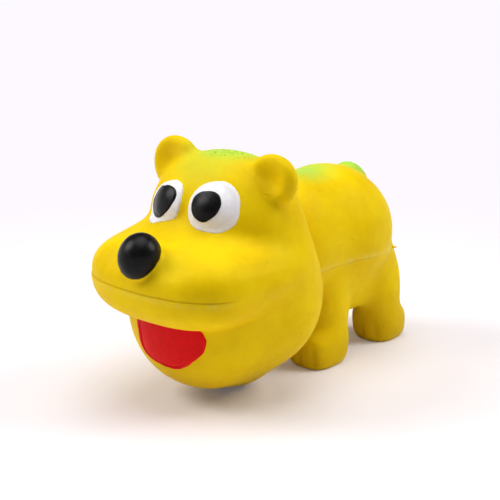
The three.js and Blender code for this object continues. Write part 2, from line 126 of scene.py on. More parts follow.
def makeLatex():
    look = latexLook
    material, tree, shader = startMaterial(
        "slushMouldedLatex", IOR=look["ior"], Specular_IOR_Level=look["shine"],
        Subsurface_Weight=look["seep"], Subsurface_Radius=look["seepReach"],
        Subsurface_Scale=look["seepDepth"])
    # the skin's place at rest, so that the paint goes with it when the toy is squeezed
    spot = addNode(tree, "Attribute", attribute_name="atRest").outputs["Vector"]

    # how far a place is from a sprayed centre, 1 at its reach
    def awayFrom(centre, reach):
        offset = addNode(tree, "VectorMath", (spot, centre), operation="SUBTRACT")
        share = addNode(tree, "VectorMath", (offset.outputs[0], reach), operation="DIVIDE")
        away = addNode(tree, "VectorMath", (share.outputs[0],), operation="LENGTH")
        return away.outputs["Value"]

    # broad uneven paint cover, as a spray gun leaves it
    mottle = addNode(tree, "TexNoise", {"Vector": spot, "Scale": 1 / look["mottle"],
                                        "Detail": 4.0, "Roughness": 0.6})
    cover = addNode(tree, "MapRange", (mottle.outputs[0], *look["mottleSpan"]))
    # pale dusty bloom in wide patches
    patch = addNode(tree, "TexNoise", {"Vector": spot, "Scale": 1 / look["bloomPatch"],
                                       "Detail": 5.0, "Roughness": 0.65})
    dust = addNode(tree, "MapRange", (patch.outputs[0], *look["bloomSpan"], 0.0,
                                      look["bloomMost"]))
    # pale where the skin stands proud, partly rubbed wear and partly painted highlight; painted
    # shade in the mould lines and near the floor
    drift = addNode(tree, "TexNoise", {"Vector": spot, "Scale": 1 / look["drift"],
                                       "Detail": 6.0, "Roughness": 0.75})
    broken = addNode(tree, "MapRange", (drift.outputs[0], *look["driftSpan"]))
    # pale where the skin stands proud: partly rubbed wear, partly painted highlight on proud edges
    proud = addNode(tree, "Attribute", attribute_name="rubbed").outputs["Fac"]
    rubbed = addNode(tree, "Math", (proud, broken.outputs[0]), operation="MULTIPLY")
    # painted shade: darker in the grooves of the mould lines and towards the floor
    grime = addNode(tree, "Attribute", attribute_name="grime").outputs["Fac"]
    # airbrushed green, ragged at its edge by a fine spray noise
    green = 0.0
    for centre, reach, strength in look["spray"]:
        ragged = addNode(tree, "Math", (drift.outputs[0], look["ragged"],
                                        awayFrom(centre, reach)), operation="MULTIPLY_ADD")
        mask = addNode(tree, "MapRange", (ragged.outputs[0], *look["spraySpan"], strength, 0.0),
                       interpolation_type="SMOOTHSTEP")
        green = addNode(tree, "Math", (green, mask.outputs[0]), operation="MAXIMUM").outputs[0]
    # droplets where the gun spat
    drops = addNode(tree, "TexVoronoi", {"Vector": spot, "Scale": 1 / look["drop"]})
    wet = addNode(tree, "MapRange", (drops.outputs["Distance"], *look["dropSpan"],
                                     look["dropMost"], 0.0))
    near = addNode(tree, "MapRange", (awayFrom(*look["spat"]), *look["spatSpan"], 1.0, 0.0))
    spat = addNode(tree, "Math", (wet.outputs[0], near.outputs[0]), operation="MULTIPLY")
    # stray dark specks, drawn at 0.5 mm so that they show
    cells = addNode(tree, "TexVoronoi", {"Vector": spot, "Scale": 1 / look["speckGap"]})
    fleck = addNode(tree, "MapRange", (cells.outputs["Distance"], *look["speckSpan"],
                                       look["speckMost"], 0.0))
    # each coat lies over the ones before it
    coat = linear(look["yellow"])
    for colour, share in (("deep", cover.outputs[0]), ("bloom", dust.outputs[0]),
                          ("rubbed", rubbed.outputs[0]), ("grime", grime), ("green", green),
                          ("olive", spat.outputs[0]), ("speck", fleck.outputs[0])):
        coat = addNode(tree, "Mix", {0: share, 6: coat, 7: linear(look[colour])},
                       data_type="RGBA").outputs[2]
    tree.links.new(coat, shader.inputs["Base Color"])
    rough = addNode(tree, "MapRange", (patch.outputs[0], *look["roughSpan"], *look["rough"]))
    tree.links.new(rough.outputs[0], shader.inputs["Roughness"])
    # shallow dimples, the pits under the droplets, and the mould's fine skin over both
    dents = addNode(tree, "TexNoise", {"Vector": spot, "Scale": 1 / look["dimple"], "Detail": 2.0})
    skin = addNode(tree, "TexNoise", {"Vector": spot, "Scale": 1 / look["skin"], "Detail": 3.0})
    under = {}
    for relief, height, sunk in (("dimpleRelief", dents, False), ("pitRelief", spat, True),
                                 ("skinRelief", skin, False)):
        strength, depth = look[relief]
        bump = addNode(tree, "Bump", {"Strength": strength, "Distance": depth,
                                      "Height": height.outputs[0], **under}, invert=sunk)
        under = {"Normal": bump.outputs[0]}
    tree.links.new(bump.outputs[0], shader.inputs["Normal"])
    return material


# brushed-on paints: thin films with brush drag, in millimetres, and its relief, in metres
paintLook = {
    "whiteAcrylicPaint": {"colour": "#f6f4f7", "shade": "#ebe8ed", "rough": 0.45, "drag": 1.6,
                          "relief": 0.00012, "shine": 0.35},
    "blackSatinEnamel": {"colour": "#080707", "shade": "#121011", "rough": 0.32, "drag": 3.0,
                         "relief": 0.0003, "shine": 0.15},
    "redAcrylicPaint": {"colour": "#e6060b", "shade": "#d60509", "rough": 0.42, "drag": 2.4,
                        "relief": 0.00016, "shine": 0.09},
}
brushwork = {"ior": 1.5, "coverSpan": (0.35, 0.7), "glossSpan": (0.3, 0.7),
             "glossShares": (0.85, 1.25), "strength": 0.5}


def makePaint(name):
    look, brush = paintLook[name], brushwork
    material, tree, shader = startMaterial(name, IOR=brush["ior"],
                                           Specular_IOR_Level=look["shine"])
    strokes = addNode(tree, "TexNoise", {"Vector": placeInMm(tree), "Scale": 1 / look["drag"],
                                         "Detail": 4.0, "Roughness": 0.6, "Distortion": 0.6})
    cover = addNode(tree, "MapRange", (strokes.outputs[0], *brush["coverSpan"]))
    base = addNode(tree, "Mix", {0: cover.outputs[0], 6: linear(look["colour"]),
                                 7: linear(look["shade"])}, data_type="RGBA")
    tree.links.new(base.outputs[2], shader.inputs["Base Color"])
    ends = [look["rough"] * share for share in brush["glossShares"]]
    gloss = addNode(tree, "MapRange", (strokes.outputs[0], *brush["glossSpan"], *ends))
    tree.links.new(gloss.outputs[0], shader.inputs["Roughness"])
    relief = addNode(tree, "Bump", {"Strength": brush["strength"], "Distance": look["relief"],
                                    "Height": strokes.outputs[0]})
    tree.links.new(relief.outputs[0], shader.inputs["Normal"])
    return material


# the squeaker's plastics, moulded polyethylene and cut film: milky, waxy, with faint flow marks
plasticLook = {
    "mouldedPolyethylene": {"colour": "#e6e6e0", "shade": "#f0f0ea", "rough": 0.42},
    "reedPolyester": {"colour": "#dfe1dc", "shade": "#eceee9", "rough": 0.25},
}
moulding = {"ior": 1.51, "seep": 0.15, "seepDepth": 0.0008, "flow": 4.0, "grain": 0.35,
            "glossSpan": (0.3, 0.7), "glossShares": (0.8, 1.2), "strength": 0.3,
            "relief": 0.00004}


def makePlastic(name):
    look, mould = plasticLook[name], moulding
    material, tree, shader = startMaterial(name, IOR=mould["ior"], Subsurface_Weight=mould["seep"],
                                           Subsurface_Scale=mould["seepDepth"])
    spot = placeInMm(tree)
    flow = addNode(tree, "TexNoise", {"Vector": spot, "Scale": 1 / mould["flow"], "Detail": 3.0,
                                      "Distortion": 1.2})
    base = addNode(tree, "Mix", {0: flow.outputs[0], 6: linear(look["colour"]),
                                 7: linear(look["shade"])}, data_type="RGBA")
    tree.links.new(base.outputs[2], shader.inputs["Base Color"])
    ends = [look["rough"] * share for share in mould["glossShares"]]
    gloss = addNode(tree, "MapRange", (flow.outputs[0], *mould["glossSpan"], *ends))
    tree.links.new(gloss.outputs[0], shader.inputs["Roughness"])
    grain = addNode(tree, "TexNoise", {"Vector": spot, "Scale": 1 / mould["grain"], "Detail": 2.0})
    relief = addNode(tree, "Bump", {"Strength": mould["strength"], "Distance": mould["relief"],
                                    "Height": grain.outputs[0]})
    tree.links.new(relief.outputs[0], shader.inputs["Normal"])
    return material


# carded polyester fibre: white, very rough, with fine strands
fibreLook = {"shadow": "#dcdad2", "colour": "#f7f6f1", "rough": 0.95, "sheen": 0.3,
             "sheenRough": 0.6, "strand": 0.8, "strength": 0.8, "relief": 0.0006}


def makeFibre():
    look = fibreLook
    material, tree, shader = startMaterial(
        "cardedPolyesterFibre", Roughness=look["rough"], Sheen_Weight=look["sheen"],
        Sheen_Roughness=look["sheenRough"])
    strands = addNode(tree, "TexNoise", {"Vector": placeInMm(tree), "Scale": 1 / look["strand"],
                                         "Detail": 6.0, "Roughness": 0.75, "Distortion": 2.5})
    base = addNode(tree, "Mix", {0: strands.outputs[0], 6: linear(look["shadow"]),
                                 7: linear(look["colour"])}, data_type="RGBA")
    tree.links.new(base.outputs[2], shader.inputs["Base Color"])
    relief = addNode(tree, "Bump", {"Strength": look["strength"], "Distance": look["relief"],
                                    "Height": strands.outputs[0]})
    tree.links.new(relief.outputs[0], shader.inputs["Normal"])
    return material


latex = makeLatex()
whitePaint = makePaint("whiteAcrylicPaint")
blackPaint = makePaint("blackSatinEnamel")
redPaint = makePaint("redAcrylicPaint")
mouldedPlastic = makePlastic("mouldedPolyethylene")
reedPlastic = makePlastic("reedPolyester")
fibre = makeFibre()
print("materials made:", len(bpy.data.materials))


# distance from points to a soft ellipsoid, squarer when its power is over 2
def lobeField(points, centre, half, tilt=0.0, power=2.0):
    gap = points - np.array(centre, float)
    c, s = math.cos(math.radians(tilt)), math.sin(math.radians(tilt))
    own = np.stack([gap[:, 0], c * gap[:, 1] + s * gap[:, 2], c * gap[:, 2] - s * gap[:, 1]], 1)
    ratio = np.abs(own) / np.array(half, float) + 1e-9
    reach = (ratio ** power).sum(1) ** (1 / power)
    slope = ((ratio / reach[:, None]) ** (power - 1) / np.array(half, float)) ** 2
    return (reach - 1) / np.sqrt(slope.sum(1))


# the lesser of two distances, with the crease between them filled by a fillet
def softMin(a, b, blend):
    near = np.maximum(blend - np.abs(a - b), 0)
    return np.minimum(a, b) - near * near / (4 * blend)


def softUnion(points, lobes, blend):
    joined = lobeField(points, **lobes[0])
    for shape in lobes[1:]:
        joined = softMin(joined, lobeField(points, **shape), blend)
    return joined


# eases from 0 at low to 1 at high
def ease(values, low, high):
    share = np.clip((values - low) / (high - low), 0, 1)
    return share * share * (3 - 2 * share)


# a bell of height 1 and half width reach
def bell(values, reach):
    return np.exp(-(values / reach) ** 2)


def fieldNormal(field, points, step=0.05):
    slope = np.stack([field(points + offset) - field(points - offset)
                      for offset in np.eye(3) * step], 1)
    return slope / (np.linalg.norm(slope, axis=1, keepdims=True) + 1e-12)


# draws points along the slope until they lie on the form
def settle(field, points, rounds=5, stride=3.0):
    for _ in range(rounds):
        over = np.clip(field(points), -stride, stride)
        points = points - over[:, None] * fieldNormal(field, points)
    return points


# walks out from an inside point along directions to the first way out of the form
def walkOut(field, start, directions, reach=60.0, stride=0.4, halvings=16):
    near, far = np.full(len(directions), reach), np.full(len(directions), reach)
    going = np.ones(len(directions), bool)
    for step in np.arange(stride, reach, stride):
        left = going & (field(start + directions * step) > 0)
        near[left], far[left] = step - stride, step
        going &= ~left
        if not going.any():
            break
    for _ in range(halvings):
        middle = (near + far) / 2
        within = field(start + directions * middle[:, None]) < 0
        near, far = np.where(within, middle, near), np.where(within, far, middle)
    return start + directions * near[:, None]


def pointsOf(bm):
    return np.array([v.co for v in bm.verts], float)


def placePoints(bm, points):
    for vert, point in zip(bm.verts, points):
        vert.co = point
    bm.normal_update()


def vertNormals(bm):
    return np.array([v.normal for v in bm.verts], float)


def relax(bm):
    bmesh.ops.smooth_vert(bm, verts=bm.verts, factor=0.5, use_axis_x=True, use_axis_y=True,
                          use_axis_z=True)


# a skin of even quads over whatever the bmesh holds
def remeshed(bm, voxel):
    mesh = bpy.data.meshes.new("blank")
    bm.to_mesh(mesh)
    bm.free()
    blank = bpy.data.objects.new("blank", mesh)
    scene.collection.objects.link(blank)
    voxels = blank.modifiers.new("voxels", "REMESH")
    voxels.mode = "VOXEL"
    voxels.voxel_size = voxel
    even = bmesh.new()
    even.from_object(blank, bpy.context.evaluated_depsgraph_get())
    bpy.data.objects.remove(blank)
    bpy.data.meshes.remove(mesh)
    return even


# joins soft ellipsoids into one skin
def remeshedLobes(lobes, voxel):
    bm = bmesh.new()
    for shape in lobes:
        power = shape.get("power", 2.0)
        turn = Matrix.Rotation(math.radians(shape.get("tilt", 0.0)), 4, "X")
        place = Matrix.Translation(shape["centre"]) @ turn @ Matrix.Diagonal((*shape["half"], 1))
        ball = bmesh.ops.create_icosphere(bm, subdivisions=4, radius=1)["verts"]
        for vert in ball:
            vert.co /= sum(abs(c) ** power for c in vert.co) ** (1 / power)
        bmesh.ops.transform(bm, matrix=place, verts=ball)
    return remeshed(bm, voxel)


# cuts edge loops that follow a level line, so that a seam pressed there is crisp
def cutAlong(bm, level, offsets):
    for vert, lift in zip(bm.verts, level(pointsOf(bm))):
        vert.co.z -= lift
    for offset in offsets:
        bmesh.ops.bisect_plane(bm, geom=bm.verts[:] + bm.edges[:] + bm.faces[:],
                               plane_co=(0, 0, offset), plane_no=(0, 0, 1), dist=weld)
    for vert, back in zip(bm.verts, level(pointsOf(bm))):
        vert.co.z += back
    bm.normal_update()


# turns a profile through a full round
def spunRound(profile, sides):
    bm = bmesh.new()
    verts = [bm.verts.new(place) for place in profile]
    edges = [bm.edges.new(pair) for pair in zip(verts, verts[1:])]
    bmesh.ops.spin(bm, geom=verts + edges, cent=(0, 0, 0), axis=(0, 0, 1), angle=math.tau,
                   steps=sides, use_merge=True)
    bmesh.ops.remove_doubles(bm, verts=bm.verts, dist=weld)
    return bm


# grows a strip of faces from the open rim and gives its new points
def grownRim(bm):
    rim = [edge for edge in bm.edges if edge.is_boundary]
    grown = bmesh.ops.extrude_edge_only(bm, edges=rim)["geom"]
    return [part for part in grown if isinstance(part, bmesh.types.BMVert)]


def finishPiece(bm, name, finish, slot, nodes, **wear):
    bmesh.ops.recalc_face_normals(bm, faces=bm.faces)
    bmesh.ops.scale(bm, vec=(metre, metre, metre), verts=bm.verts)
    for face in bm.faces:
        face.smooth = True
    mesh = bpy.data.meshes.new(name)
    bm.to_mesh(mesh)
    bm.free()
    atRest = np.array([v.co for v in mesh.vertices]).ravel() / metre
    mesh.attributes.new("atRest", "FLOAT_VECTOR", "POINT").data.foreach_set("vector", atRest)
    for kind, shares in wear.items():
        mesh.attributes.new(kind, "FLOAT", "POINT").data.foreach_set("value", shares)
    mesh.materials.append(finish)
    piece = bpy.data.objects.new(name, mesh)
    scene.collection.objects.link(piece)
    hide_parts(*nodes)
    print("piece", name, len(mesh.polygons), "faces")
    return piece


headShape = {
    "skull": [
        {"centre": (0, -17, 50), "half": (25.7, 18.8, 24.6), "power": 2.25},     # brow
        {"centre": (14.5, -14.7, 32.9), "half": (16.3, 17.05, 22)},              # cheeks
        {"centre": (-14.5, -14.7, 32.9), "half": (16.3, 17.05, 22)},
        {"centre": (0, -15, 26.3), "half": (20.6, 17.8, 26.4)},                  # chin
        {"centre": (0, -28.3, 29.6), "half": (24.6, 19.1, 25.9), "power": 2.15},  # mouth
        {"centre": (19.5, -25.5, 41), "half": (9.6, 15, 8)},                     # jowls
        {"centre": (-19.5, -25.5, 41), "half": (9.6, 15, 8)},
    ],
    "muzzle": {"centre": (0, -35.2, 40.6), "half": (28.8, 22.2, 12.9), "tilt": 2.6, "power": 2.7},
    "blend": 7.0,
    # the muzzle joins crisply under the lip and softly at the cheek: level, fillet
    "joins": [(36.5, 1.1), (41.5, 8.5), (46, 8), (52, 5)],
    "voxel": 0.52,
    # shallow hollows beside the nose: place, reach, depth
    "dents": [((10.6, -54.2, 48.4), 4.2, 1.1), ((-10.6, -54.2, 48.4), 4.2, 1.1)],
    # the mould line: a fine groove with painted shade in it, edge loops cut beside it, and where it
    # fades in along y
    "partingLevel": 40.2, "partingDepth": 0.2, "partingWidth": 0.2, "partingShade": 0.3,
    "partingCuts": (-1.2, -0.6, -0.25, 0, 0.2, 0.5), "partingEnds": (-43.0, -50.0),
    # the lip stands a little proud below it and is pale there, partly rubbed wear and partly
    # painted highlight
    "lipProud": 0.3, "lipStep": 0.25, "lipReach": 5.0,
    "lipPale": 0.3, "lipPaleBelow": 0.9, "lipPaleWide": 0.8,
}
eyeShape = {"seat": (7.8, -17, 60.8), "ball": 10.5, "proud": 2.2, "blend": 0.8}
noseShape = {"centre": (0, -54.8, 50.3), "half": (6.2, 6.05, 6.9), "tilt": -27, "blend": 1.2}
forward = np.array([[0, -1.0, 0]])  # the way the toy faces


def skullField(points):
    return softUnion(points, headShape["skull"], headShape["blend"])


def headField(points):
    shape = headShape
    soft = np.interp(points[:, 2], *zip(*shape["joins"]))
    return softMin(skullField(points), lobeField(points, **shape["muzzle"]), soft)


# where each eye's dome sits on the brow: left, then right
def eyeSeats():
    seats = []
    for side in (1, -1):
        seat = walkOut(headField, np.array(eyeShape["seat"]) * (side, 1, 1), forward)
        seats.append((seat[0], fieldNormal(headField, seat)[0]))
    return seats


eyeLobes = [{"centre": seat + out * (eyeShape["proud"] - eyeShape["ball"]),
             "half": (eyeShape["ball"],) * 3} for seat, out in eyeSeats()]
noseLobe = {key: noseShape[key] for key in ("centre", "half", "tilt")}


def faceField(points):
    face = headField(points)
    for ball in eyeLobes:
        face = softMin(face, lobeField(points, **ball), eyeShape["blend"])
    return softMin(face, lobeField(points, **noseLobe), noseShape["blend"])


def dented(points, out):
    for place, reach, depth in headShape["dents"]:
        away = np.linalg.norm(points - np.array(place), axis=1)
        points = points - out * (depth * bell(away, reach))[:, None]
    return points


# painted shade near the floor: how much darker the latex is drawn, most at the first level, none
# from the second
floorShadePaint = {"most": 0.24, "levels": (1.0, 21.0)}


def paintedFloorShade(points):
    return floorShadePaint["most"] * (1 - ease(points[:, 2], *floorShadePaint["levels"]))


def makeHead():
    shape = headShape
    bm = remeshedLobes(shape["skull"] + [shape["muzzle"], noseLobe], shape["voxel"])
    placePoints(bm, settle(faceField, pointsOf(bm)))
    relax(bm)
    cutAlong(bm, lambda points: np.full(len(points), shape["partingLevel"]),
             shape["partingCuts"])
    points = settle(faceField, pointsOf(bm), rounds=3)
    placePoints(bm, points)
    out = vertNormals(bm)
    # a fine groove with the lip standing a little proud below it
    below = shape["partingLevel"] - points[:, 2]
    fade = ease(points[:, 1], *shape["partingEnds"])
    groove = bell(below, shape["partingWidth"]) * fade
    lip = np.clip(below / shape["lipStep"], 0, 1) * np.clip(1 - below / shape["lipReach"], 0, 1)
    push = shape["lipProud"] * lip * fade - shape["partingDepth"] * groove
    points = dented(points, out) + out * push[:, None]
    points[:, 2] = np.maximum(points[:, 2], 0)  # the chin rests flat on the floor
    placePoints(bm, points)
    # pale band just below the mould line: partly rubbed wear, partly painted highlight on the lip's
    # proud edge
    rub = shape["lipPale"] * bell(below - shape["lipPaleBelow"], shape["lipPaleWide"]) * fade
    # painted shade in the mould line's groove, and darker towards the floor
    head = finishPiece(bm, "headSkin", latex, "latex_yellow", ["head_skin", "muzzle_skin"],
                       rubbed=rub,
                       grime=np.maximum(shape["partingShade"] * groove, paintedFloorShade(points)))
    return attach(head, "body")


makeHead()


def turnedTo(facing):
    ahead = np.array(facing, float) / np.linalg.norm(facing)
    across = np.array([-ahead[1], ahead[0], 0.0])
    across /= np.linalg.norm(across)
    return ahead, across, np.cross(ahead, across)


# turns a facing sideways and up by degrees
def aimed(facing, turns):
    ahead, across, upward = turnedTo(facing)
    sideways, raised = (math.tan(math.radians(t)) for t in turns)
    return ahead + across * sideways + upward * raised


# a round film laid on a form: rays from an inside point, out to an outline in degrees
def layFilm(field, centre, facing, outline, lift, skirt, rings=26, spokes=112):
    bm = spunRound([(i / rings, 0, 0) for i in range(rings + 1)], spokes)
    flat = pointsOf(bm)
    share, turn = np.hypot(flat[:, 0], flat[:, 1]), np.arctan2(flat[:, 1], flat[:, 0])
    ahead, across, upward = turnedTo(facing)
    angles, widths = zip(*outline)
    lean = np.radians(share * np.interp(np.degrees(turn), angles, widths, period=360))
    rays = (np.cos(lean)[:, None] * ahead + np.sin(lean)[:, None]
            * (np.cos(turn)[:, None] * across + np.sin(turn)[:, None] * upward))
    points = walkOut(field, np.array([centre], float), rays)
    points = points + fieldNormal(field, points) * lift(share, turn)[:, None]
    placePoints(bm, points)
    # the edge goes inward as a skirt and the underside is closed
    middle = Vector(centre)
    for vert in grownRim(bm):
        vert.co = vert.co.lerp(middle, skirt / (vert.co - middle).length)
    bmesh.ops.holes_fill(bm, edges=[edge for edge in bm.edges if edge.is_boundary], sides=0)
    return bm


# a film's wet edge: a bead near the rim, how sharply it rounds off, and how far the rim sinks in
wetEdge = {"bead": 0.35, "beadAt": 0.9, "beadWide": 0.06, "roundOff": 16, "sunk": 0.02}


def wetFilm(thick):
    edge = wetEdge

    def lift(share, turn):
        bead = edge["bead"] * bell(share - edge["beadAt"], edge["beadWide"])
        rounded = np.sqrt(np.clip(1 - share ** edge["roundOff"], 0, 1))
        return thick * (1 + bead) * rounded - edge["sunk"]

    return lift


eyePaint = {
    "depth": 14.0, "whiteFilm": 0.18, "pupilFilm": 0.38, "skirt": 0.8,
    # where each outline is centred, in degrees sideways and up, then the outline about it
    "white": {"left": ((4, 4), [(6, 32.4), (24, 33.6), (52, 34.4), (77, 33.8), (92, 32.2),
                                (109, 31.8), (140, 32.1), (178, 32.8), (205, 33), (220, 31.5),
                                (232, 29), (259, 26), (279, 26.6), (296, 29), (313, 31),
                                (331, 33.4), (349, 33.1)]),
              "right": ((-6, 0), [(0, 27.8), (23, 28.6), (41, 30.2), (56, 31.2), (79, 28.5),
                                  (94, 25.4), (114, 24), (140, 28.5), (169, 35), (200, 38),
                                  (225, 34), (240, 29), (270, 23.2), (285, 22.3), (308, 23.9),
                                  (332, 29), (344, 28.5)])},
    # both pupils glance to the toy's right
    "pupil": {"left": ((-1, 5), [(13, 17.7), (48, 18.4), (65, 18.0), (85, 17.1), (105, 16.7),
                                 (126, 18.6), (158, 21.5), (198, 20), (234, 18.8), (274, 17.9),
                                 (296, 15.9), (315, 15.6), (353, 16.5)]),
              "right": ((-12, 0), [(5, 25.5), (17, 28), (27, 29), (37, 28.3), (47, 26.2),
                                   (57, 23.4), (88, 16.8), (143, 17.4), (175, 23), (191, 26),
                                   (205, 26.5), (222, 25), (250, 21.4), (278, 20.2), (307, 20),
                                   (329, 21), (350, 23.5)])},
}


def makeEyes():
    look = eyePaint
    for word, (seat, out) in zip(("left", "right"), eyeSeats()):
        centre = seat - out * look["depth"]
        for kind, film, finish, slot, name, node in (
                ("white", look["whiteFilm"], whitePaint, "paint_white", "eyeWhite", "eye_white_"),
                ("pupil", look["pupilFilm"], blackPaint, "paint_black", "pupil", "pupil_")):
            turns, outline = look[kind][word]
            bm = layFilm(faceField, centre, aimed(out, turns), outline, wetFilm(film),
                         look["skirt"])
            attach(finishPiece(bm, name + word.title(), finish, slot, [node + word]), "body")


makeEyes()

nosePaint = {
    "film": 0.16, "facing": (0, -0.62, 0.785), "behind": 5.0, "skirt": 1.0,
    "rings": 48, "spokes": 128,
    # the paint runs a little past the nose's root, unevenly
    "outline": [(0, 57.6), (14, 58.6), (30, 57.8), (48, 61), (62, 59.7), (78, 63), (92, 61.7),
                (108, 63), (124, 59.7), (140, 59.7), (160, 57), (180, 57.4), (196, 58.4),
                (210, 58.6), (228, 63), (245, 63.5), (262, 67), (276, 67), (292, 67.5), (308, 66.5),
                (326, 62.5), (342, 60.5)],
}


def makeNose():
    look = nosePaint
    within = np.array(noseShape["centre"]) - np.array(look["facing"]) * look["behind"]
    bm = layFilm(faceField, within, look["facing"], look["outline"], wetFilm(look["film"]),
                 look["skirt"], look["rings"], look["spokes"])
    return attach(finishPiece(bm, "nose", blackPaint, "paint_black", ["nose"]), "body")


makeNose()

tonguePaint = {
    "centre": (1.6, -30, 22.5), "facing": (0.02, -0.99, -0.12), "film": 0.75, "skirt": 1.0,
    "roundOff": 14, "sunk": 0.03, "rings": 60, "spokes": 144,
    # a groove inside the left and lower edge, fading either side of one direction in degrees
    "grooveIn": 0.84, "grooveWide": 0.045, "grooveDeep": 0.5,
    "grooveTurn": 235, "grooveFade": 1.5, "grooveSpread": 0.6,
    "outline": [(2, 41.3), (18, 46.4), (30, 46), (60, 46), (90, 42), (125, 44), (151, 42.9),
                (167, 39), (192, 39.8), (203, 38.8), (213, 35.2), (224, 31.6), (236, 28),
                (263, 25.2), (287, 25.9), (312, 26.6), (339, 30.8), (353, 36.3)],
}


def makeTongue():
    look = tonguePaint

    def lift(share, turn):
        pad = look["film"] * np.sqrt(np.clip(1 - share ** look["roundOff"], 0, 1)) - look["sunk"]
        groove = look["grooveDeep"] * bell(share - look["grooveIn"], look["grooveWide"])
        around = np.cos(turn - math.radians(look["grooveTurn"])) * look["grooveFade"]
        return pad - groove * np.clip(around + look["grooveSpread"], 0, 1)

    bm = layFilm(skullField, look["centre"], look["facing"], look["outline"], lift,
                 look["skirt"], look["rings"], look["spokes"])
    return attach(finishPiece(bm, "tongue", redPaint, "paint_red", ["tongue"]), "body")


makeTongue()

# ears: own axes run across, up along the rise, and forward from the root
earShape = {
    "root": (19.125, -17.7, 67.835), "rise": (0.7032, 0.0, 0.711),
    # the plate stands upright on its leaning root: outward, up, forward
    "plate": {"left": {"centre": (0.6, 1.3, 0.9), "half": (8.4, 7.6, 3.8), "power": 2.1},
              "right": {"centre": (-0.7, 0.4, 0.9), "half": (9.1, 9.0, 3.8), "power": 2.1}},
    "lean": 45.0,
    "plinth": {"centre": (0, -1.5, 0.6), "half": (15, 4, 9)},
    "cup": {"centre": (-1.3, 2.0, 5.6), "half": (5.4, 5.2, 3.5)},
    "cupBlend": 2.6, "blend": 2.2, "voxel": 0.45,
    "foot": -5.0,  # the hidden underside, below the head's skin
    # the plinth clears the head's skin by a hair and sinks under it towards its edge
    "clear": 0.015, "sink": 0.3, "sinkFrom": 0.62, "sinkTo": 1.0,
    "rounds": (8, 3, 3),  # how often points are drawn onto the form before each smoothing
    "bendStart": 0.6, "bendEnd": 6.0,
}


def makeEar(side, word):
    shape = earShape
    mirror = np.array([side, 1, 1])
    root, rise = np.array(shape["root"]) * mirror, np.array(shape["rise"]) * mirror
    across = np.cross(rise, forward[0]) * side
    axes = np.stack([across, rise, forward[0]], 1)
    lobe = shape["plate"][word]
    wide, _, deep = shape["plinth"]["half"]
    c, s = math.cos(math.radians(shape["lean"])), math.sin(math.radians(shape["lean"]))
    upright = np.array([[c, -s, 0], [s, c, 0], [0, 0, 1]])

    def earField(own):
        plate = lobeField(own @ upright, **lobe)
        hollowed = -softMin(-plate, lobeField(own, **shape["cup"]), shape["cupBlend"])
        spread = np.hypot(own[:, 0] / wide, own[:, 2] / deep)
        sink = shape["sink"] * ease(spread, shape["sinkFrom"], shape["sinkTo"])
        skin = headField(root + own @ axes.T) + sink - shape["clear"]
        return np.maximum(softMin(skin, hollowed, shape["blend"]), shape["foot"] - own[:, 1])

    bm = remeshedLobes([lobe, shape["plinth"]], shape["voxel"])
    for rounds in shape["rounds"]:
        placePoints(bm, settle(earField, pointsOf(bm), rounds))
        relax(bm)
    placePoints(bm, root + pointsOf(bm) @ axes.T)
    ear = finishPiece(bm, "ear" + word.title(), latex, "latex_yellow", ["ear_" + word])
    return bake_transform(ear)


makeEar(1, "left")
makeEar(-1, "right")

bodyShape = {
    "torso": [
        {"centre": (0, 32.3, 40.0), "half": (21.7, 24.4, 21.9), "tilt": -10},
        {"centre": (0, 10.8, 42.4), "half": (19, 20, 21.4)},
    ],
    "torsoBlend": 6.0,
    # paw and shank of a front and a rear leg, and the web that joins them under the flank
    "legs": [
        [{"centre": (9.9, 16.9, 5.4), "half": (7.8, 9.3, 6.9), "power": 3.0},
         {"centre": (10.1, 19.9, 17.5), "half": (7.5, 8, 18)}],
        [{"centre": (9.7, 51.8, 5.0), "half": (7.7, 8.1, 6.5), "power": 3.0},
         {"centre": (10.3, 49.0, 16.5), "half": (7.4, 7.8, 17.5), "power": 2.3}],
        [{"centre": (9.6, 34.5, 22.5), "half": (4.2, 11, 8.6)}],
    ],
    "pawLag": (-2.0, 5.0, 0),  # the right rear foot is moulded a little outward and forward
    "legBlend": 4.0, "hipBlend": 6.0,
    "tail": {"centre": (0, 47.2, 55.2), "half": (4.5, 6.8, 4.1), "tilt": -40, "power": 2.3},
    "tailBlend": 2.0,
    "voxel": 0.75,
    # the flank's mould seam: level along y, edge loops cut beside it, and how far out it fades in;
    # painted shade in its groove, and a pale band above it, partly rubbed wear and partly painted
    # highlight
    "seam": [(5, 33.9), (10, 34.1), (26, 34.8), (40, 34.0), (51, 32.3), (60, 31.5)],
    "seamCuts": (-0.6, -0.25, 0, 0.25, 0.6, 1.1), "seamFades": (4.0, 8.0),
    "seamDepth": 0.14, "seamWidth": 0.22, "seamShade": 0.15,
    "seamRidge": 0.14, "ridgeAbove": 0.6, "ridgeWide": 0.4,
    "seamPale": 0.5, "paleAbove": 0.7, "paleWide": 1.1,
    "flash": ((17.7, 48.8, 33.5), 0.8, 1.7),  # a nib of flash on the seam: place, radius, length
    "flashTip": 0.25, "flashSides": 9,
    # toes: grooves down the front of each paw that splay towards the floor
    "toeGaps": (-0.8, 4.4), "toeDepth": 1.0, "toeWidth": 0.7, "toeSplay": 0.02, "toeMiddle": 6.0,
    "toeTop": 9.6, "toeFade": 3.5, "toeFoot": (0.6, 2.6), "toeBack": 2.5, "toeReach": 12.0,
    # the squeaker's seat under the belly
    "squeakerY": 34.2, "padLevel": 21.83, "padRadius": 7.7, "holeRadius": 4.9, "holeDepth": 4.0,
    "seatBlend": 0.8,
    "bendLow": 24.0, "bendHigh": 56.0,  # the levels between which a squeeze would bend the skin
}


# both sides folded onto the left one
def folded(points):
    return np.abs(points * (1, 0, 0)) + points * (0, 1, 1)


# the same, with the right rear foot brought onto the left one
def lagging(points):
    return folded(points) + np.outer(points[:, 0] < 0, bodyShape["pawLag"])


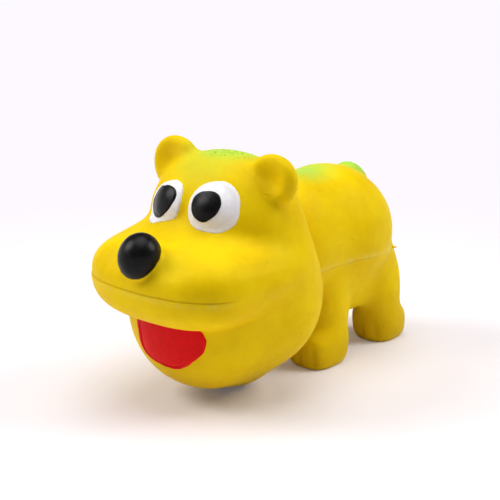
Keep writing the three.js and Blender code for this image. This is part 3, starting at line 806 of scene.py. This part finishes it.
# the torso with its legs and tail, hollowed under the belly to seat the squeaker
def bodyField(points):
    shape = bodyShape
    half = folded(points)
    body = softUnion(half, shape["torso"], shape["torsoBlend"])
    front, rear, web = shape["legs"]
    rearPaw = lobeField(lagging(points), **rear[0])
    rearLeg = softMin(rearPaw, lobeField(half, **rear[1]), shape["legBlend"])
    for limb in (softUnion(half, front, shape["legBlend"]), rearLeg, lobeField(half, **web[0])):
        body = softMin(body, limb, shape["hipBlend"])
    body = softMin(body, lobeField(points, **shape["tail"]), shape["tailBlend"])
    apart = np.hypot(points[:, 0], points[:, 1] - shape["squeakerY"])
    seat = np.maximum(apart - shape["padRadius"], points[:, 2] - shape["padLevel"])
    hole = np.maximum(apart - shape["holeRadius"],
                      points[:, 2] - shape["padLevel"] - shape["holeDepth"])
    return -softMin(-body, np.minimum(seat, hole), shape["seatBlend"])


def seamLevel(points):
    return np.interp(points[:, 1], *zip(*bodyShape["seam"]))


def makeBody():
    shape = bodyShape
    mirrored = [{**part, "centre": (side * part["centre"][0], *part["centre"][1:])}
                for leg in shape["legs"] for part in leg for side in (1, -1)]
    bm = remeshedLobes(shape["torso"] + mirrored + [shape["tail"]], shape["voxel"])
    placePoints(bm, settle(bodyField, pointsOf(bm), rounds=8))
    relax(bm)
    cutAlong(bm, seamLevel, shape["seamCuts"])
    points = settle(bodyField, pointsOf(bm), rounds=3)
    placePoints(bm, points)
    out = vertNormals(bm)
    # the flank's mould seam: a fine groove under a low ridge
    above = points[:, 2] - seamLevel(points)
    inner, outer = shape["seamFades"]
    flank = np.clip((np.abs(points[:, 0]) - inner) / (outer - inner), 0, 1)
    groove = flank * bell(above, shape["seamWidth"])
    ridge = flank * bell(above - shape["ridgeAbove"], shape["ridgeWide"])
    push = shape["seamRidge"] * ridge - shape["seamDepth"] * groove
    # toes: shallow grooves down the front of each paw
    low = np.clip((shape["toeTop"] - points[:, 2]) / shape["toeFade"], 0, 1)
    low = low * ease(points[:, 2], *shape["toeFoot"])
    splay = 1 + shape["toeSplay"] * (shape["toeMiddle"] - points[:, 2])
    for own, leg in zip((folded(points), lagging(points)), shape["legs"]):
        across, along = own[:, 0] - leg[0]["centre"][0], own[:, 1] - leg[0]["centre"][1]
        front = np.clip((-shape["toeBack"] - along) / shape["toeBack"], 0, 1) * low
        front = front * (np.abs(along) < shape["toeReach"])
        for gap in shape["toeGaps"]:
            push -= shape["toeDepth"] * bell(across - gap * splay, shape["toeWidth"]) * front
    points = points + out * push[:, None]
    points[:, 2] = np.maximum(points[:, 2], 0)  # the soles stand flat
    placePoints(bm, points)
    # a nib of flash stands on the seam
    place, radius, length = shape["flash"]
    root = settle(bodyField, np.array([place], float))
    turn = Vector(fieldNormal(bodyField, root)[0]).to_track_quat("Z", "Y").to_matrix().to_4x4()
    nib = bmesh.ops.create_cone(bm, cap_ends=True, segments=shape["flashSides"], radius1=radius,
                                radius2=radius * shape["flashTip"], depth=length * 2,
                                matrix=Matrix.Translation(root[0]) @ turn)["verts"]
    bare = [0.0] * len(nib)
    # a pale band above the seam, partly rubbed wear and partly painted highlight; painted shade in
    # its groove and darker towards the floor
    rub = shape["seamPale"] * flank * bell(above - shape["paleAbove"], shape["paleWide"])
    shadeShares = np.maximum(shape["seamShade"] * groove, paintedFloorShade(points))
    body = finishPiece(bm, "bodySkin", latex, "latex_yellow",
                       ["back_skin", "belly_skin", "tail", "front_left_leg", "front_right_leg",
                        "rear_left_leg", "rear_right_leg"],
                       rubbed=[*rub, *bare], grime=[*shadeShares, *bare])
    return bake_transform(body)


makeBody()

fillingShape = {"voxel": 1.1, "lump": 0.5, "lumpSize": 5.0, "lumpSkew": 0.4, "fill": 0.75,
                "wall": 1.2, "weld": 1e-3, "pulls": 3}


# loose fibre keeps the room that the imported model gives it, drawn in a little between lumps
def makeFilling(node, name, skin):
    shape = fillingShape
    bm = bmesh.new()
    bm.from_mesh(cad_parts[node].data)
    bmesh.ops.scale(bm, vec=(1 / metre,) * 3, verts=bm.verts)
    bmesh.ops.remove_doubles(bm, verts=bm.verts, dist=shape["weld"])
    bm = remeshed(bm, shape["voxel"])
    relax(bm)
    bm.normal_update()
    points, out = pointsOf(bm), vertNormals(bm)
    skewed = points[:, [1, 2, 0]] * shape["lumpSkew"]
    waves = np.sin(points * (math.tau / shape["lumpSize"]) + skewed)
    points = points - out * (shape["lump"] * (1 + waves.prod(1)))[:, None]
    for _ in range(shape["pulls"]):  # held inside the skin's wall
        over = np.maximum(skin(points) + shape["wall"], 0)
        points = points - fieldNormal(skin, points) * over[:, None]
    placePoints(bm, points)
    piece = finishPiece(bm, name, fibre, "fibre_white", [node])
    return piece


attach(makeFilling("head_filling", "headFilling", headField), "body")
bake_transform(makeFilling("torso_filling", "torsoFilling", bodyField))

domeShape = {"flange": 1.5, "lip": 1.0, "wall": 0.9, "steps": 14, "sides": 64,
             "rib": 0.2, "ribAt": 0.55, "ribWide": 0.07, "pressSpare": 1.0}


# the squeaker's thin dome, turned from its profile: in use its foot stays and its crown is pressed
# down
def makeDome():
    shape = domeShape
    low, high = (np.array(corner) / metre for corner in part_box("squeaker_dome"))
    rim, foot, lip = (high[0] - low[0]) / 2, low[2], low[2] + shape["lip"]
    radius, height = rim - shape["flange"], high[2] - lip
    turns = np.linspace(0, math.pi / 2, shape["steps"] + 1)

    def shell(grow):
        return np.stack([(radius + grow) * np.cos(turns), turns * 0,
                         lip + (height + grow) * np.sin(turns)], 1)

    outer = shell(0)
    outer[:, 0] += shape["rib"] * bell(turns - shape["ribAt"], shape["ribWide"])
    profile = [*shell(-shape["wall"])[::-1], (radius - shape["wall"], 0, foot), (rim, 0, foot),
               (rim, 0, lip), *outer]
    bm = spunRound(profile, shape["sides"])
    bmesh.ops.translate(bm, vec=(*(low + high)[:2] / 2, 0), verts=bm.verts)
    dome = finishPiece(bm, "squeakerDome", mouldedPlastic, "plastic_white", ["squeaker_dome"])
    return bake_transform(dome)


makeDome()

# the squeaker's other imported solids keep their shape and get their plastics
squeakerFinish = {"squeaker_base": mouldedPlastic, "reed_tube": mouldedPlastic,
                  "reed_wedge": mouldedPlastic, "reed": reedPlastic}
for node, finish in squeakerFinish.items():
    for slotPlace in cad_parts[node].material_slots:
        slotPlace.material = finish
print("squeaker finished")

studio = {
    # pale paper, whose glow grows between two distances from the toy, in metres
    "floor": "#f6f1f5", "paperRough": 0.9, "paperShine": 0.1,
    "white": "#fdf9fe", "glowSpan": (0.07, 0.26), "glowLeast": 0.1,
    "sheet": 6.0, "rim": 1.4, "sheetSides": 96,
    "room": "#ffffff", "ambient": 0.05,
    "cameraAim": (-0.0276, 0.02695, 0.0288), "azimuth": 40.0, "elevation": 16.3,
    "distance": 0.485, "lens": 101.7, "sensor": 36.0, "nearest": 0.01,
    # place, size, watts
    "lamps": [((0, 0, 0.9), 0.7, 5.4), ((0.46, 0.386, 0.55), 0.4, 3.1),
              ((-0.46, -0.386, 0.55), 0.4, 3.8)],
    "lampAim": (0, 0, 0.03),
}


def lookAlong(thing, direction):
    thing.rotation_euler = direction.to_track_quat("-Z", "Y").to_euler()


def makeCamera():
    look = studio
    a, e = math.radians(look["azimuth"]), math.radians(look["elevation"])
    back = Vector((math.sin(a) * math.cos(e), -math.cos(a) * math.cos(e), math.sin(e)))
    camera = bpy.data.objects.new("camera", bpy.data.cameras.new("camera"))
    camera.location = Vector(look["cameraAim"]) + back * look["distance"]
    lookAlong(camera, -back)
    camera.data.lens = look["lens"]
    camera.data.sensor_width = look["sensor"]
    camera.data.clip_start = look["nearest"]
    scene.collection.objects.link(camera)
    scene.camera = camera


def makeLight():
    look = studio
    for place, size, watts in look["lamps"]:
        lamp = bpy.data.objects.new("softbox", bpy.data.lights.new("softbox", "AREA"))
        lamp.data.energy = watts
        lamp.data.size = size
        lamp.location = place
        lookAlong(lamp, Vector(look["lampAim"]) - Vector(place))
        scene.collection.objects.link(lamp)
    world = bpy.data.worlds.new("paleRoom")
    scene.world = world
    world.use_nodes = True
    glow = world.node_tree.nodes["Background"]
    glow.inputs["Color"].default_value = linear(look["room"])
    glow.inputs["Strength"].default_value = look["ambient"]


# shows near white to the camera and keeps the toy's shadow
def makePaper():
    look = studio
    paper, tree, shader = startMaterial(
        "palePaper", Base_Color=linear(look["floor"]), Roughness=look["paperRough"],
        Specular_IOR_Level=look["paperShine"])
    light = addNode(tree, "LightPath").outputs
    seen = light["Is Camera Ray"]
    for ray in ("Is Glossy Ray", "Is Transmission Ray"):
        seen = addNode(tree, "Math", (seen, light[ray]), operation="MAXIMUM").outputs[0]
    place = addNode(tree, "TexCoord").outputs["Object"]
    away = addNode(tree, "VectorMath", (place,), operation="LENGTH")
    share = addNode(tree, "MapRange", (away.outputs["Value"], *look["glowSpan"],
                                       look["glowLeast"], 1.0), interpolation_type="SMOOTHSTEP")
    share = addNode(tree, "Math", (share.outputs[0], seen), operation="MULTIPLY")
    bright = addNode(tree, "Emission", {"Color": linear(look["white"]), "Strength": 1.0})
    mixed = addNode(tree, "MixShader", (share.outputs[0], shader.outputs[0], bright.outputs[0]))
    tree.links.new(mixed.outputs[0], tree.nodes["Material Output"].inputs["Surface"])
    return paper


# a round sheet of paper that turns up at its rim
def makeFloor():
    look = studio
    bm = bmesh.new()
    bmesh.ops.create_circle(bm, cap_ends=True, radius=look["sheet"], segments=look["sheetSides"])
    bmesh.ops.translate(bm, vec=(0, 0, look["rim"]), verts=grownRim(bm))
    mesh = bpy.data.meshes.new("floor")
    bm.to_mesh(mesh)
    bm.free()
    mesh.materials.append(makePaper())
    floor = bpy.data.objects.new("floor", mesh)
    scene.collection.objects.link(floor)


makeCamera()
makeLight()
makeFloor()
scene.view_settings.view_transform = "Standard"
print("studio set")
